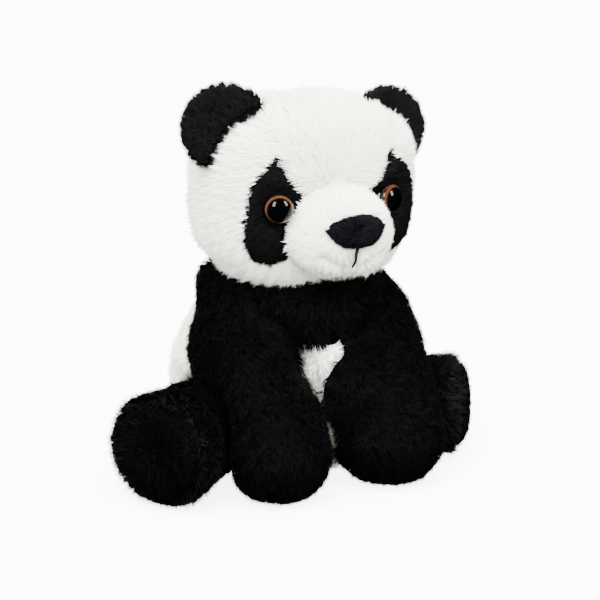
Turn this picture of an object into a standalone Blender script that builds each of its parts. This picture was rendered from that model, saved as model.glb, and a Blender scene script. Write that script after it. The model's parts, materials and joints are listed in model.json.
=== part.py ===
# Sitting plush panda, built as sewn panels over stuffing cores.
# Units are metres, +Z is up, the face looks along -Y, the toy's own left is +X.
# The outer faces are the mean surface of the pile; panels keep a small gap at every seam.
import math

import bmesh
import bpy
from mathutils import Matrix, Vector

MM = 0.001
Y_SHIFT = -15.5            # puts the middle of the overall depth on Y = 0
WALL = 4.0                 # backing cloth plus packed pile
CORE_GAP = 0.35            # between a panel and the filling behind it
SEAM_GAP = 0.3             # between neighbouring panels
RUN_GAP = 0.5              # clearance left beside a part that moves
CHORD_LIMB = 1.05         # faceted limb sweeps are enlarged so their flats clear the true curve
CHORD_HEAD = 1.032         # the same for the finer head sweep
BIG = 900.0                # size of the half-space cutters

HEAD_C = (0.0, 3.0, 153.0)
HEAD_R = (58.0, 43.0, 49.5)
MUZZLE_C = (0.0, -36.0, 137.5)
MUZZLE_R = (28.0, 21.5, 22.0)
HEAD_POWER = 2.9
MUZZLE_POWER = 2.4
NECK_C = (0.0, 6.0, 110.0)
NECK_R = 22.0
NECK_NOD = 8.0
NECK_TURN = 20.0
EAR_LINE_Y = 11.3
CHIN_Z = 118.5
GUSSET_POINT = (23.5, 161.0)
GUSSET_LEAN = 0.478
NOSE_C = (0.0, -55.3, 141.0)
NOSE_R = (13.8, 6.5, 8.4)
NOSE_TIP = (14.4, -53.0, 142.3)
NOSE_TIP_R = 3.0
PATCH = ((31, 176), (21.5, 160.5), (19.5, 152.5), (23, 140), (22.5, 125), (30, 121.5), (37, 120.6),
         (44.3, 123.5), (47.8, 134), (48.5, 144), (47.3, 154), (44.8, 163.5), (38, 171.5))
PATCH_EDGE = 40.0          # the left patch is cut wider beyond this line
PATCH_WIDER = 4.5
EYE_C = (33.0, -36.4, 151.3)
EYE_YAW = 22.0
EYE_RADIUS = 7.5
EYE_SEAT = 2.0
DOME = ((0.0, -5.6), (0.35, -5.3), (0.68, -4.2), (0.9, -2.4), (1.0, -0.7), (0.97, 0.0))
SHANK_R = 2.3
SHANK_TIP = 13.0
SHANK_TAPER = 0.6
WASHER_R = 6.5
WASHER_DEPTH = 6.2
WASHER_THICK = 1.6
RECESS_TOP = -9.0
NOSE_POWER = 2.8
NOSE_TAPER = 0.04
STITCH_Z = (119.5, 130.8)
STITCH_HALF = 0.6
STITCH_RAISE = 1.3

EAR_C = {1: (45.5, -2.5, 182.5), -1: (49.4, -2.5, 190.0)}    # the left ear is set deeper
EAR_R = 22.0
EAR_YAW = 15.0             # the outer edge stands further back than the inner one
EAR_HALF = 6.0
EAR_CUP = 4.0
EAR_TILT = 34.0
EAR_SWING = 20.0
EAR_REACH = {1: -4.0, -1: 3.0}    # from the leaf's middle down to the head's surface

TORSO_LOW_C = (0.0, 24.0, 46.0)
TORSO_LOW_R = (60.0, 60.0, 50.0)
TORSO_TOP_C = (0.0, 5.0, 88.0)
TORSO_TOP_R = (51.0, 40.0, 42.0)
BODY_POWER = 2.3
YOKE_POINT = (-34.0, 75.0)
YOKE_LEAN = 0.26
YOKE_SIDE_Y = 12.0
BELLY_SIDE_Y = -8.0
SEAT_Z = 8.0
PELLET_Z = 18.0

SHOULDER_C = (41.0, 0.0, 79.5)
SHOULDER_R = 22.5
FOREARM_C = {1: (36.5, -8.0, 58.0), -1: (43.0, -8.0, 58.0)}    # the left one is the thicker
FOREARM_R = {1: (26.5, 30.0, 34.0), -1: (20.5, 30.0, 34.0)}
PAW_C = (33.0, -34.0, 24.5)
PAW_R = (28.0, 30.0, 24.5)
ARM_LIFT = 30.0

HIP_C = (44.0, 18.0, 28.5)
HIP_R = 25.5
FOOT_C = {1: (84.4, -4.0, 27.5), -1: (83.9, -13.0, 30.0)}    # the right foot is further forward
FOOT_R = {1: (14.0, 28.0, 27.5), -1: (14.0, 30.0, 30.0)}
LEG_YAW = -27.0
LEG_UP = 12.0
LEG_DOWN = 3.0
SOLE_AT = 7.5
DISC_AROUND = 20
DISC_RINGS = 8
DISC_POWER = 2.8

TAIL_C = (0.0, 85.0, 27.0)
TAIL_R = (10.0, 10.0, 13.0)
TAIL_PIVOT = (0.0, 78.0, 32.0)
TAIL_SWING = 12.0

LABEL_LOW = (26.0, 58.0, 11.6)
LABEL_HIGH = (40.0, 77.0, 12.4)

FUR_WHITE = (0.86, 0.85, 0.80, 1.0)
FUR_BLACK = (0.035, 0.036, 0.04, 1.0)
FILLING = (0.92, 0.92, 0.9, 1.0)
EYE_DARK = (0.02, 0.012, 0.008, 1.0)
PLASTIC_WHITE = (0.9, 0.9, 0.88, 1.0)
ROUGH_CLOTH = 0.95
ROUGH_PLASTIC = 0.45
ROUGH_EYE = 0.06
BLACK_CLOTH = ("yoke", "eye_patch", "nose", "ear_", "arm_outer", "arm_inner", "leg_front",
               "leg_back", "sole", "mouth")


def place(p):
    return Vector((p[0], p[1] + Y_SHIFT, p[2])) * MM


def clear_scene():
    for obj in list(bpy.data.objects):
        bpy.data.objects.remove(obj, do_unlink=True)


def material(name, colour, roughness, metallic=0.0):
    mat = bpy.data.materials.new(name)
    mat.use_nodes = True
    shader = mat.node_tree.nodes["Principled BSDF"]
    shader.inputs["Base Color"].default_value = colour
    shader.inputs["Roughness"].default_value = roughness
    shader.inputs["Metallic"].default_value = metallic
    mat.diffuse_color = colour
    return mat


def new_object(name, bm):
    mesh = bpy.data.meshes.new(name)
    bm.to_mesh(mesh)
    bm.free()
    obj = bpy.data.objects.new(name, mesh)
    bpy.context.scene.collection.objects.link(obj)
    return obj


def disc_points(centre, radii, yaw):
    """Surface points of a cushion that is round when seen along its own X axis."""
    bm = bmesh.new()
    bmesh.ops.create_uvsphere(bm, u_segments=DISC_AROUND, v_segments=DISC_RINGS, radius=1.0)
    turn = Matrix.Rotation(math.radians(yaw), 3, 'Z')
    points = []
    for vert in bm.verts:
        d = Vector((vert.co.z, vert.co.x, vert.co.y))
        rim = math.hypot(d.y, d.z)
        s = (abs(d.x) ** DISC_POWER + rim ** DISC_POWER) ** (-1.0 / DISC_POWER) * MM
        local = Vector((d.x * radii[0] * s, d.y * radii[1] * s, d.z * radii[2] * s))
        points.append(place(centre) + turn @ local)
    bm.free()
    return points


def super_points(centre, radii, power, yaw=0.0, around=12, rings=8):
    """Surface points of a rounded box: a UV sphere pushed out to the power curve."""
    bm = bmesh.new()
    bmesh.ops.create_uvsphere(bm, u_segments=around, v_segments=rings, radius=1.0)
    turn = Matrix.Rotation(math.radians(yaw), 3, 'Z')
    points = []
    for vert in bm.verts:
        push_out(vert, radii, power)
        points.append(place(centre) + turn @ vert.co)
    bm.free()
    return points


def push_out(vert, radii, power):
    d = vert.co
    total = abs(d.x) ** power + abs(d.y) ** power + abs(d.z) ** power
    s = total ** (-1.0 / power) * MM
    vert.co = Vector((d.x * radii[0] * s, d.y * radii[1] * s, d.z * radii[2] * s))


def super_solid(name, centre, radii, power, around=18, rings=10):
    bm = bmesh.new()
    bmesh.ops.create_uvsphere(bm, u_segments=around, v_segments=rings, radius=1.0)
    for vert in bm.verts:
        push_out(vert, radii, power)
        vert.co += place(centre)
    return new_object(name, bm)


def grown(radii, amount):
    return tuple(r + amount for r in radii)


def hull_solid(name, points):
    bm = bmesh.new()
    for point in points:
        bm.verts.new(point)
    bmesh.ops.remove_doubles(bm, verts=bm.verts, dist=0.0001)
    result = bmesh.ops.convex_hull(bm, input=bm.verts)
    spare = [g for g in result["geom_interior"] if isinstance(g, bmesh.types.BMVert)]
    bmesh.ops.delete(bm, geom=spare, context='VERTS')
    bmesh.ops.recalc_face_normals(bm, faces=bm.faces)
    return new_object(name, bm)


def turned(points, pivot, axis, degrees):
    """The points after a turn about an axis through the pivot."""
    centre = place(pivot)
    turn = Matrix.Rotation(math.radians(degrees), 3, Vector(axis))
    return [centre + turn @ (p - centre) for p in points]


def turn_object(obj, pivot, axis, degrees):
    centre = place(pivot)
    turn = Matrix.Rotation(math.radians(degrees), 3, Vector(axis))
    for vert in obj.data.vertices:
        vert.co = centre + turn @ (vert.co - centre)
    return obj


def box(name, low, high):
    bm = bmesh.new()
    bmesh.ops.create_cube(bm, size=1.0)
    a = place(low)
    b = place(high)
    for vert in bm.verts:
        vert.co = Vector(a[i] + (b[i] - a[i]) * (vert.co[i] + 0.5) for i in range(3))
    return new_object(name, bm)


def half_space(name, point, normal):
    """A large block that fills the side of the plane the normal points to."""
    bm = bmesh.new()
    bmesh.ops.create_cube(bm, size=BIG * MM)
    direction = Vector(normal).normalized()
    turn = Vector((0, 0, 1)).rotation_difference(direction).to_matrix()
    for vert in bm.verts:
        vert.co.z += BIG * MM / 2
        vert.co = place(point) + turn @ vert.co
    return new_object(name, bm)


def prism(name, outline, mirror, swell, depth):
    """The outline (x, z) pulled along Y from far in front back to the given depth."""
    middle = Vector((sum(p[0] for p in outline), sum(p[1] for p in outline))) / len(outline)
    bm = bmesh.new()
    front = []
    for x, z in outline:
        way = Vector((x, z)) - middle
        spot = middle + way * (1.0 + swell / way.length)
        front.append(bm.verts.new(place((spot.x * mirror, -BIG / 2, spot.y))))
    face = bm.faces.new(front)
    moved = bmesh.ops.extrude_face_region(bm, geom=[face])
    verts = [g for g in moved["geom"] if isinstance(g, bmesh.types.BMVert)]
    bmesh.ops.translate(bm, verts=verts, vec=Vector((0, (BIG / 2 + depth) * MM, 0)))
    bmesh.ops.recalc_face_normals(bm, faces=bm.faces)
    return new_object(name, bm)


def lathe(name, profile, around):
    """A turned solid about local -Y: the rings of a UV sphere laid on (radius, depth) pairs."""
    rings = len(profile) - 1
    bm = bmesh.new()
    bmesh.ops.create_uvsphere(bm, u_segments=around, v_segments=rings, radius=1.0)
    for vert in bm.verts:
        ring = round(math.acos(max(-1.0, min(1.0, vert.co.z))) / math.pi * rings)
        radius, depth = profile[ring]
        flat = Vector((vert.co.x, vert.co.y))
        flat = flat.normalized() * radius if radius > 0 else Vector((0, 0))
        vert.co = Vector((flat.x, depth, flat.y)) * MM
    if bm.calc_volume(signed=True) < 0.0:
        bmesh.ops.reverse_faces(bm, faces=bm.faces)
    return new_object(name, bm)


def combine(target, other, operation, keep_other=False):
    """Exact Boolean of target with other, applied at once."""
    other.hide_render = True
    other.display_type = 'WIRE'
    mod = target.modifiers.new("cut", 'BOOLEAN')
    mod.operation = operation
    mod.solver = 'EXACT'
    mod.object = other
    bpy.context.view_layer.update()
    graph = bpy.context.evaluated_depsgraph_get()
    mesh = bpy.data.meshes.new_from_object(target.evaluated_get(graph))
    target.modifiers.clear()
    target.data = mesh
    if not keep_other:
        bpy.data.objects.remove(other, do_unlink=True)
    return target


def minus(target, other, keep_other=False):
    return combine(target, other, 'DIFFERENCE', keep_other)


def inside(target, other, keep_other=False):
    return combine(target, other, 'INTERSECT', keep_other)


def copy_of(obj, name):
    twin = bpy.data.objects.new(name, obj.data.copy())
    bpy.context.scene.collection.objects.link(twin)
    return twin


def side_of(obj, name, planes):
    """A copy of obj kept on the side of every plane that its normal points to."""
    piece = copy_of(obj, name)
    for point, normal in planes:
        shift = Vector(normal).normalized() * SEAM_GAP / 2
        held = (point[0] + shift.x, point[1] + shift.y, point[2] + shift.z)
        inside(piece, half_space("plane", held, normal))
    return piece


def keep_largest(obj):
    """Drops the loose slivers a sweep leaves beside the main body of a panel."""
    bm = bmesh.new()
    bm.from_mesh(obj.data)
    left = set(bm.verts)
    groups = []
    while left:
        group = {min(left, key=lambda v: v.index)}
        edge = list(group)
        while edge:
            found = [e.other_vert(v) for v in edge for e in v.link_edges]
            edge = [v for v in dict.fromkeys(found) if v not in group]
            group.update(edge)
        groups.append(group)
        left -= group
    groups.sort(key=len)
    for group in groups[:-1]:
        bmesh.ops.delete(bm, geom=list(group), context='VERTS')
    bm.to_mesh(obj.data)
    bm.free()


def remove(*objects):
    for obj in objects:
        bpy.data.objects.remove(obj, do_unlink=True)


# ---------------------------------------------------------------- shapes before cutting

def mirrored(p, side):
    return (p[0] * side, p[1], p[2])


def leg_frame(side):
    a = math.radians(LEG_YAW)
    along = Vector((math.cos(a) * side, math.sin(a), 0.0))
    axis = Vector((math.sin(a) * side, -math.cos(a), 0.0)) * side
    return along, axis


def scaled(radii, factor):
    return tuple(r * factor for r in radii)


def leg_points(side, grow, factor=1.0):
    hip = super_points(mirrored(HIP_C, side), scaled((HIP_R + grow,) * 3, factor), 2.0)
    radii = scaled(grown(FOOT_R[side], grow), factor)
    foot = disc_points(mirrored(FOOT_C[side], side), radii, LEG_YAW * side)
    return hip + foot


def leg_sweep(side, grow):
    along, axis = leg_frame(side)
    base = leg_points(side, grow, CHORD_LIMB)
    points = []
    for angle in (-LEG_DOWN, LEG_UP / 2, LEG_UP):
        points += turned(base, mirrored(HIP_C, side), axis, angle)
    return hull_solid("leg_sweep", points)


def arm_points(side, grow, factor=1.0):
    top = super_points(mirrored(SHOULDER_C, side), scaled((SHOULDER_R + grow,) * 3, factor), 2.0)
    radii = scaled(grown(FOREARM_R[side], grow), factor)
    mid = super_points(mirrored(FOREARM_C[side], side), radii, BODY_POWER)
    paw = super_points(mirrored(PAW_C, side), scaled(grown(PAW_R, grow), factor), BODY_POWER)
    return top + mid + paw


def arm_sweep(side, grow):
    base = arm_points(side, grow, CHORD_LIMB)
    points = []
    for angle in (0.0, ARM_LIFT):
        points += turned(base, mirrored(SHOULDER_C, side), (1, 0, 0), -angle)
    return hull_solid("arm_sweep", points)


def head_sweep(grow):
    skull = scaled(grown(HEAD_R, grow), CHORD_HEAD)
    base = super_points(HEAD_C, skull, HEAD_POWER, 0.0, 16, 10)
    base += super_points(MUZZLE_C, scaled(grown(MUZZLE_R, grow), CHORD_HEAD), MUZZLE_POWER)
    points = []
    for turn in (-NECK_TURN, 0.0, NECK_TURN):
        for nod in (-NECK_NOD, 0.0, NECK_NOD):
            tipped = turned(base, NECK_C, (1, 0, 0), nod)
            points += turned(tipped, NECK_C, (0, 0, 1), turn)
    return hull_solid("head_sweep", points)


def neck_ball(grow):
    return super_solid("neck_ball", NECK_C, (NECK_R + grow,) * 3, 2.0, 16, 10)


def pear_points(grow):
    low = super_points(TORSO_LOW_C, grown(TORSO_LOW_R, grow), BODY_POWER, 0.0, 20, 12)
    top = super_points(TORSO_TOP_C, grown(TORSO_TOP_R, grow), BODY_POWER, 0.0, 20, 12)
    return low + top


def torso_solid(inset):
    body = hull_solid("torso_solid", pear_points(-inset))
    minus(body, half_space("floor", (0, 0, inset), (0, 0, -1)))
    minus(body, head_sweep(RUN_GAP + inset))
    for side in (1, -1):
        minus(body, arm_sweep(side, RUN_GAP + inset))
        minus(body, leg_sweep(side, RUN_GAP + inset))
    return body


def head_solid(inset):
    skull = super_solid("head_solid", HEAD_C, grown(HEAD_R, -inset), HEAD_POWER, 22, 14)
    muzzle = super_solid("muzzle", MUZZLE_C, grown(MUZZLE_R, -inset), MUZZLE_POWER, 18, 10)
    combine(skull, muzzle, 'UNION')
    return skull


def arm_solid(side, inset):
    arm = hull_solid("arm_solid", arm_points(side, -inset))
    for lift in (0.0, ARM_LIFT / 3, 2 * ARM_LIFT / 3, ARM_LIFT):
        sweep = leg_sweep(side, RUN_GAP + inset)
        turn_object(sweep, mirrored(SHOULDER_C, side), (1, 0, 0), lift)
        minus(arm, sweep)
    return arm


def leg_solid(side, inset):
    return hull_solid("leg_solid", leg_points(side, -inset))


def wall_of(make, *args):
    outer = make(*args, 0.0)
    minus(outer, make(*args, WALL))
    return outer


def eye_frame(side):
    centre = place(mirrored(EYE_C, side))
    return Matrix.Translation(centre) @ Matrix.Rotation(math.radians(EYE_YAW * side), 4, 'Z')


def eye_tool(name, profile, side, around=16):
    tool = lathe(name, profile, around)
    tool.data.transform(eye_frame(side))
    return tool


# ---------------------------------------------------------------- finished pieces

def build_torso():
    wall = wall_of(torso_solid)
    minus(wall, neck_ball(RUN_GAP))
    lean = Vector((0.0, -YOKE_LEAN, 1.0))
    yoke_at = (0.0, YOKE_POINT[0], YOKE_POINT[1])
    up = (yoke_at, lean)
    down = (yoke_at, -lean)
    seat_top = ((0, 0, SEAT_Z), (0, 0, 1))
    keep_largest(side_of(wall, "yoke_front", [up, ((0, YOKE_SIDE_Y, 0), (0, -1, 0))]))
    side_of(wall, "yoke_back", [up, ((0, YOKE_SIDE_Y, 0), (0, 1, 0))])
    side_of(wall, "belly_panel", [down, seat_top, ((0, BELLY_SIDE_Y, 0), (0, -1, 0))])
    behind = ((0, BELLY_SIDE_Y, 0), (0, 1, 0))
    side_of(wall, "back_panel_left", [down, seat_top, behind, ((0, 0, 0), (1, 0, 0))])
    side_of(wall, "back_panel_right", [down, seat_top, behind, ((0, 0, 0), (-1, 0, 0))])
    side_of(wall, "seat_panel", [((0, 0, SEAT_Z), (0, 0, -1))])
    core = torso_solid(WALL + CORE_GAP)
    minus(core, neck_ball(RUN_GAP))
    side_of(core, "torso_stuffing", [((0, 0, PELLET_Z), (0, 0, 1))])
    side_of(core, "pellet_bag", [((0, 0, PELLET_Z), (0, 0, -1))])
    remove(wall, core)
    ball = neck_ball(0.0)
    ball.name = "neck_stuffing"


def patch_outline(side):
    wider = PATCH_WIDER if side > 0 else 0.0
    return [(x + wider if x > PATCH_EDGE else x, z) for x, z in PATCH]


def build_head():
    wall = wall_of(head_solid)
    minus(wall, neck_ball(RUN_GAP))
    seam_in = SEAM_GAP / 2
    seam_out = SEAM_GAP * 1.5
    muzzle_out = super_solid("muzzle_out", MUZZLE_C, grown(MUZZLE_R, seam_out), MUZZLE_POWER)
    muzzle_in = super_solid("muzzle_in", MUZZLE_C, grown(MUZZLE_R, seam_in), MUZZLE_POWER)
    ring = copy_of(wall, "muzzle_ring")
    inside(ring, muzzle_in)
    for side, word in ((1, "left"), (-1, "right")):
        half = side_of(ring, "muzzle_" + word, [((0, 0, 0), (side, 0, 0))])
        minus(half, eye_tool("recess", recess_profile(), side))
        minus(half, eye_tool("washer_room", washer_room(RUN_GAP), side))
    remove(ring)
    minus(wall, muzzle_out)
    for side, word in ((1, "left"), (-1, "right")):
        patch = copy_of(wall, "eye_patch_" + word)
        outline = patch_outline(side)
        inside(patch, prism("outline", outline, side, -SEAM_GAP / 2, -SEAM_GAP))
        minus(wall, prism("outline", outline, side, SEAM_GAP / 2, 0.0))
        build_eye(side, word, patch)
    front = ((0, EAR_LINE_Y, 0), (0, -1, 0))
    back = ((0, EAR_LINE_Y, 0), (0, 1, 0))
    above = ((0, 0, CHIN_Z), (0, 0, 1))
    side_of(wall, "chin_panel", [((0, 0, CHIN_Z), (0, 0, -1))])
    gusset = [front, above]
    rear = side_of(wall, "rear", [above, back])
    for side, word in ((1, "left"), (-1, "right")):
        point = (GUSSET_POINT[0] * side, 0, GUSSET_POINT[1])
        outward = Vector((side, 0, -GUSSET_LEAN))
        gusset.append((point, -outward))
        side_of(wall, "cheek_" + word, [front, above, (point, outward)])
        side_of(rear, "nape_" + word, [((0, 0, 0), (side, 0, 0))])
    side_of(wall, "forehead_gusset", gusset)
    remove(wall, rear)
    build_head_core()
    build_nose()


def build_head_core():
    core = head_solid(WALL + CORE_GAP)
    core.name = "head_stuffing"
    minus(core, neck_ball(RUN_GAP))
    for side in (1, -1):
        minus(core, eye_tool("washer_room", washer_room(2 * RUN_GAP), side))


def recess_profile():
    """The hollow in the cloth that the eye's dome and shank sit in."""
    gap = SEAM_GAP
    seat = EYE_SEAT + gap
    profile = [(0.0, RECESS_TOP), (EYE_RADIUS + gap, RECESS_TOP), (EYE_RADIUS + gap, seat)]
    return profile + [(SHANK_R + gap, seat), (SHANK_R + gap, SHANK_TIP), (0.0, SHANK_TIP)]


def cylinder_profile(radius, top, base):
    return [(0.0, top), (radius, top), (radius, base), (0.0, base)]


def washer_room(extra):
    return cylinder_profile(WASHER_R + extra, EYE_SEAT, SHANK_TIP + RUN_GAP)


def build_eye(side, word, patch):
    """Glossy dome on a ribbed post, locked behind the cloth by a washer."""
    dome = [(EYE_RADIUS * share, EYE_SEAT + height) for share, height in DOME]
    shank = [(SHANK_R, EYE_SEAT), (SHANK_R, SHANK_TIP - SHANK_R * (1 - SHANK_TAPER))]
    shank += [(SHANK_R * SHANK_TAPER, SHANK_TIP), (0.0, SHANK_TIP)]
    eye_tool("eye_" + word, dome + shank, side)
    minus(patch, eye_tool("recess", recess_profile(), side))
    base = WASHER_DEPTH + WASHER_THICK
    washer = eye_tool("eye_washer_" + word, cylinder_profile(WASHER_R, WASHER_DEPTH, base), side)
    bore = cylinder_profile(SHANK_R + SEAM_GAP, EYE_SEAT, SHANK_TIP)
    minus(washer, eye_tool("bore", bore, side))


def build_nose():
    """A flat-topped dome that runs out to a point on either side and narrows downwards."""
    points = super_points(NOSE_C, NOSE_R, NOSE_POWER, 0.0, 20, 12)
    centre = place(NOSE_C)
    for p in points:
        p.x *= 1.0 - NOSE_TAPER * (1.0 - (p.z - centre.z) / (NOSE_R[2] * MM))
    for side in (1, -1):
        points += super_points(mirrored(NOSE_TIP, side), (NOSE_TIP_R,) * 3, 2.0, 0.0, 10, 6)
    nose = hull_solid("nose", points)
    minus(nose, super_solid("bed", MUZZLE_C, grown(MUZZLE_R, SEAM_GAP), MUZZLE_POWER))
    stitch = super_solid("mouth_stitch", MUZZLE_C, grown(MUZZLE_R, STITCH_RAISE), MUZZLE_POWER)
    low = (-STITCH_HALF, -BIG / 2, STITCH_Z[0])
    high = (STITCH_HALF, MUZZLE_C[1], STITCH_Z[1])
    inside(stitch, box("strip", low, high))
    minus(stitch, super_solid("bed", MUZZLE_C, grown(MUZZLE_R, SEAM_GAP), MUZZLE_POWER))


def ear_middle(side):
    return mirrored(EAR_C[side], side)


def ear_turn(side):
    yaw = Matrix.Rotation(math.radians(EAR_YAW * side), 3, 'Z')
    return yaw @ Matrix.Rotation(math.radians(EAR_TILT * side), 3, 'Y')


def ear_half(name, side, front):
    """One leaf of an ear: a half lens, cupped towards the face."""
    bm = bmesh.new()
    bmesh.ops.create_uvsphere(bm, u_segments=16, v_segments=8, radius=1.0)
    lean = ear_turn(side)
    sign = -1.0 if front else 1.0
    for vert in bm.verts:
        d = vert.co.copy()
        bulge = max(0.0, d.z)
        y = sign * (SEAM_GAP / 2 + (EAR_HALF - SEAM_GAP / 2) * bulge)
        y -= EAR_CUP * (d.x * d.x + d.y * d.y)
        vert.co = lean @ Vector((d.x * EAR_R, y, d.y * EAR_R)) * MM + place(ear_middle(side))
    bmesh.ops.recalc_face_normals(bm, faces=bm.faces)
    return new_object(name, bm)


def ear_pivot(side):
    """Middle of the base seam, at the head's surface."""
    down = ear_turn(side) @ Vector((0.0, 0.0, -EAR_REACH[side]))
    return tuple(Vector(ear_middle(side)) + down)


def ear_axis(side):
    return ear_turn(side) @ Vector((1.0, 0.0, 0.0))


def build_ears():
    for side, word in ((1, "left"), (-1, "right")):
        for front, leaf in ((True, "front"), (False, "back")):
            ear = ear_half("ear_%s_%s" % (leaf, word), side, front)
            for swing in (-EAR_SWING, -EAR_SWING / 2, 0.0, EAR_SWING / 2, EAR_SWING):
                tool = super_solid("skull", HEAD_C, grown(HEAD_R, RUN_GAP), HEAD_POWER, 24, 14)
                turn_object(tool, ear_pivot(side), ear_axis(side), -swing)
                minus(ear, tool)


def build_arms():
    for side, word in ((1, "left"), (-1, "right")):
        wall = wall_of(arm_solid, side)
        seam = mirrored((SHOULDER_C[0] - 2.3, 0.0, 0.0), side)
        side_of(wall, "arm_outer_" + word, [(seam, (side, 0, 0))])
        side_of(wall, "arm_inner_" + word, [(seam, (-side, 0, 0))])
        remove(wall)
        core = arm_solid(side, WALL + CORE_GAP)
        core.name = "arm_stuffing_" + word


def build_legs():
    for side, word in ((1, "left"), (-1, "right")):
        wall = wall_of(leg_solid, side)
        along, axis = leg_frame(side)
        forward = axis * side
        foot = mirrored(FOOT_C[side], side)
        hip = mirrored(HIP_C, side)
        sole_at = (foot[0] + along.x * SOLE_AT, foot[1] + along.y * SOLE_AT, foot[2])
        side_of(wall, "sole_" + word, [(sole_at, along)])
        side_of(wall, "leg_front_" + word, [(sole_at, -along), (hip, forward)])
        side_of(wall, "leg_back_" + word, [(sole_at, -along), (hip, -forward)])
        remove(wall)
        core = leg_solid(side, WALL + CORE_GAP)
        core.name = "leg_stuffing_" + word


def build_tail():
    tail = super_solid("tail", TAIL_C, TAIL_R, 2.0, 20, 12)
    for swing in (-TAIL_SWING, 0.0, TAIL_SWING):
        body = hull_solid("body", turned(pear_points(RUN_GAP), TAIL_PIVOT, (1, 0, 0), swing))
        minus(tail, body)
    side_of(tail, "tail_top", [((0, 0, TAIL_C[2]), (0, 0, 1))])
    side_of(tail, "tail_bottom", [((0, 0, TAIL_C[2]), (0, 0, -1))])
    remove(tail)


def build_label():
    label = box("care_label", LABEL_LOW, LABEL_HIGH)
    minus(label, hull_solid("body", pear_points(SEAM_GAP)))


# ---------------------------------------------------------------- joints and finish

def empty(name, spot, parent=None):
    obj = bpy.data.objects.new(name, None)
    bpy.context.scene.collection.objects.link(obj)
    obj.location = place(spot)
    if parent is not None:
        attach(obj, parent)
    return obj


def attach(obj, parent):
    bpy.context.view_layer.update()
    world = obj.matrix_world.copy()
    obj.parent = parent
    obj.matrix_parent_inverse = parent.matrix_world.inverted()
    obj.matrix_world = world


def rig():
    neck = empty("neck_pivot", NECK_C)
    groups = {"neck_pivot": ["neck_stuffing"]}
    head = empty("head_pivot", NECK_C, neck)
    names = ["chin_panel", "forehead_gusset", "head_stuffing", "nose", "mouth_stitch"]
    for word in ("left", "right"):
        names += [n + word for n in ("muzzle_", "cheek_", "nape_", "eye_patch_", "eye_")]
        names.append("eye_washer_" + word)
    groups["head_pivot"] = names
    for side, word in ((1, "left"), (-1, "right")):
        empty("ear_pivot_" + word, ear_pivot(side), head)
        groups["ear_pivot_" + word] = ["ear_front_" + word, "ear_back_" + word]
        empty("shoulder_pivot_" + word, mirrored(SHOULDER_C, side))
        arm = ["arm_outer_" + word, "arm_inner_" + word, "arm_stuffing_" + word]
        groups["shoulder_pivot_" + word] = arm
        empty("hip_pivot_" + word, mirrored(HIP_C, side))
        leg = ["leg_front_" + word, "leg_back_" + word, "sole_" + word, "leg_stuffing_" + word]
        groups["hip_pivot_" + word] = leg
    empty("tail_pivot", TAIL_PIVOT)
    groups["tail_pivot"] = ["tail_top", "tail_bottom"]
    for pivot, members in groups.items():
        for name in members:
            attach(bpy.data.objects[name], bpy.data.objects[pivot])


def look_of(name):
    if name.startswith("eye_washer"):
        return PLASTIC_WHITE, ROUGH_PLASTIC
    if name in ("eye_left", "eye_right"):
        return EYE_DARK, ROUGH_EYE
    if name.startswith(BLACK_CLOTH):
        return FUR_BLACK, ROUGH_CLOTH
    if "stuffing" in name or name in ("care_label", "pellet_bag"):
        return FILLING, ROUGH_CLOTH
    return FUR_WHITE, ROUGH_CLOTH


def finish():
    for obj in list(bpy.data.objects):
        if obj.type != 'MESH':
            continue
        colour, rough = look_of(obj.name)
        obj.data.materials.clear()
        obj.data.materials.append(material("mat_" + obj.name, colour, rough))
        for face in obj.data.polygons:
            face.use_smooth = True
            face.material_index = 0


def main():
    clear_scene()
    build_torso()
    build_head()
    build_ears()
    build_arms()
    build_legs()
    build_tail()
    build_label()
    rig()
    finish()


main()
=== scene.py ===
"""Looks of the sitting plush panda: stuffed skins, mesh pile, glass eyes, stitching, studio."""
import json
import math
from collections import namedtuple

import bmesh
import bpy
import numpy as np
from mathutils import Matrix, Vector
from mathutils.bvhtree import BVHTree
from mathutils.kdtree import KDTree


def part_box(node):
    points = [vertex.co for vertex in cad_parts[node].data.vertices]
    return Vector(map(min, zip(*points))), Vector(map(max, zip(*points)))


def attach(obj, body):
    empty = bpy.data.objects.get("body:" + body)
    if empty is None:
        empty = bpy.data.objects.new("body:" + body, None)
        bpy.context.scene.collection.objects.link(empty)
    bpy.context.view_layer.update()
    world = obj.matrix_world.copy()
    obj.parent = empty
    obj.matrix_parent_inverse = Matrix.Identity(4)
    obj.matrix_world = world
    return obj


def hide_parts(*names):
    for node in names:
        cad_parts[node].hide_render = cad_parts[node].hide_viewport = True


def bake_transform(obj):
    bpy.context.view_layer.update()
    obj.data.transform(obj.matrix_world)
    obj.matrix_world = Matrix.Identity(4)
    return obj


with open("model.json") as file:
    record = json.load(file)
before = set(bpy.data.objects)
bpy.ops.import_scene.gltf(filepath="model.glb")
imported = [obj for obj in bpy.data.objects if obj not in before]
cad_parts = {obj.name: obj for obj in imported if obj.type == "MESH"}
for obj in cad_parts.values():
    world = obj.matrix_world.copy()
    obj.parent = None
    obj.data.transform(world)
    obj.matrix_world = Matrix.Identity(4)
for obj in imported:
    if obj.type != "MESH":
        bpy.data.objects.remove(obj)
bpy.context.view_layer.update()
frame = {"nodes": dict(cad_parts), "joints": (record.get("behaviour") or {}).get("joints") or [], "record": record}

NODES = frame["nodes"]
BODIES = frame["record"]["behaviour"]["bodies"]
SIDES = ((1, "left"), (-1, "right"))


# ------------------------------------------------------------------ small helpers

def unit(v):
    return v / np.maximum(np.linalg.norm(v, axis=-1, keepdims=True), 1e-9)


def boxes(names):
    lows, highs = zip(*(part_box(n) for n in names))
    low = np.min([tuple(v) for v in lows], axis=0)
    high = np.max([tuple(v) for v in highs], axis=0)
    return low, high


def middle(names):
    low, high = boxes(names)
    return (low + high) / 2


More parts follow.
